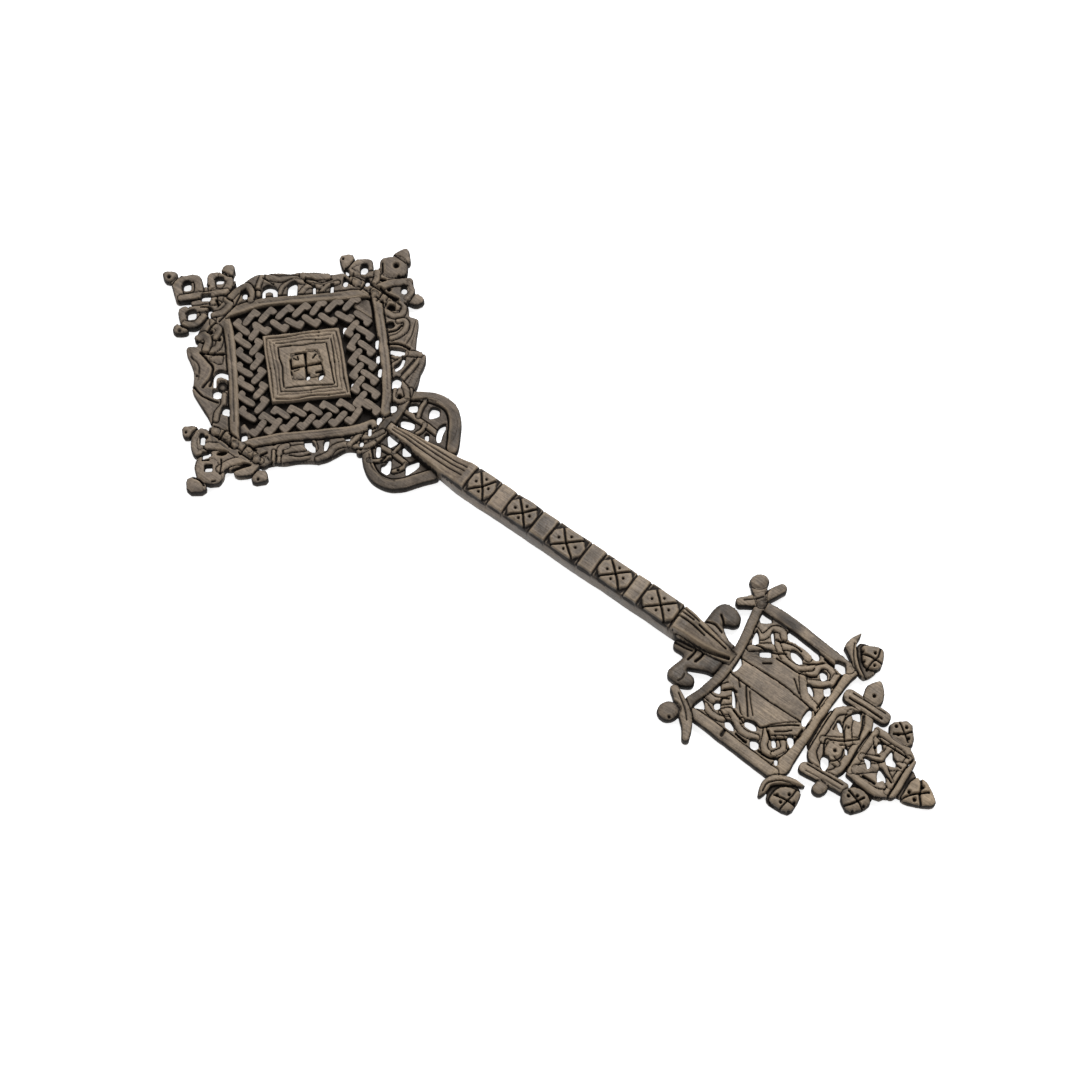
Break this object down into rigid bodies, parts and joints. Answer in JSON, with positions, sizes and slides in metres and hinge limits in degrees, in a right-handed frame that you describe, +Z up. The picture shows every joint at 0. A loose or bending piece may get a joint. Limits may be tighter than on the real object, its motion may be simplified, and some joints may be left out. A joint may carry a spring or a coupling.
{
  "type": "hand cross",
  "caption": "Carved wooden blessing cross in the Ethiopian style: a pierced and braided diamond head, a faceted grip with incised lozenges, and a pierced square base.",
  "frame": {"origin": "centre of the bounding box in X and Y, on the flat back that the cross lies on", "axes": "+Y along the cross from the base to the head, +X to the right seen from the carved face, +Z up out of the carved face"},
  "size_m": [0.1496, 0.4013, 0.0124],
  "materials": {
    "head_wood": "dry, weathered, grey-brown",
    "handle_wood": "rubbed smooth by hands, tan",
    "base_wood": "worn, tan over brown"
  },
  "bodies": {
    "root": {"base_bottom_bar": "base_wood", "base_leaf_left_wing": "base_wood", "base_leaf_right_wing": "base_wood", "base_leaf_tongue": "base_wood", "base_left_bar": "base_wood", "base_left_tracery": "base_wood", "base_lower_left_bud": "base_wood", "base_lower_left_strap": "base_wood", "base_lower_right_bud": "base_wood", "base_lower_right_strap": "base_wood", "base_right_bar": "base_wood", "base_right_tracery": "base_wood", "base_top_bar": "base_wood", "base_upper_corner_straps": "base_wood", "base_upper_knobs": "base_wood", "foot_bar": "base_wood", "handle_grip": "handle_wood", "handle_lower_taper": "handle_wood", "handle_upper_taper": "handle_wood", "head_border_lower_left": "head_wood", "head_border_lower_right": "head_wood", "head_border_upper_left": "head_wood", "head_border_upper_right": "head_wood", "head_braid_lower_left": "head_wood", "head_braid_lower_right": "head_wood", "head_braid_upper_left": "head_wood", "head_braid_upper_right": "head_wood", "head_centre_panel": "head_wood", "head_frame_lower_left": "head_wood", "head_frame_lower_right": "head_wood", "head_frame_upper_left": "head_wood", "head_frame_upper_right": "head_wood", "head_petal_cross": "head_wood", "head_side_collars": "head_wood", "head_top_collar": "head_wood", "left_curl": "base_wood", "left_finial_hub": "head_wood", "left_finial_knobs": "head_wood", "left_finial_loops": "head_wood", "left_lobe_rim": "head_wood", "left_lobe_web": "head_wood", "lower_cross_buds": "base_wood", "lower_cross_knot": "base_wood", "lower_cross_side_bars": "base_wood", "lower_cross_straps": "base_wood", "neck_strap": "head_wood", "right_curl": "base_wood", "right_finial_hub": "head_wood", "right_finial_knobs": "head_wood", "right_finial_loops": "head_wood", "right_lobe_rim": "head_wood", "right_lobe_web": "head_wood", "rosette_frame": "base_wood", "rosette_side_buds": "base_wood", "rosette_star": "base_wood", "terminal_bud": "base_wood", "top_finial_hub": "head_wood", "top_finial_knobs": "head_wood", "top_finial_loops": "head_wood"}
  },
  "joints": []
}
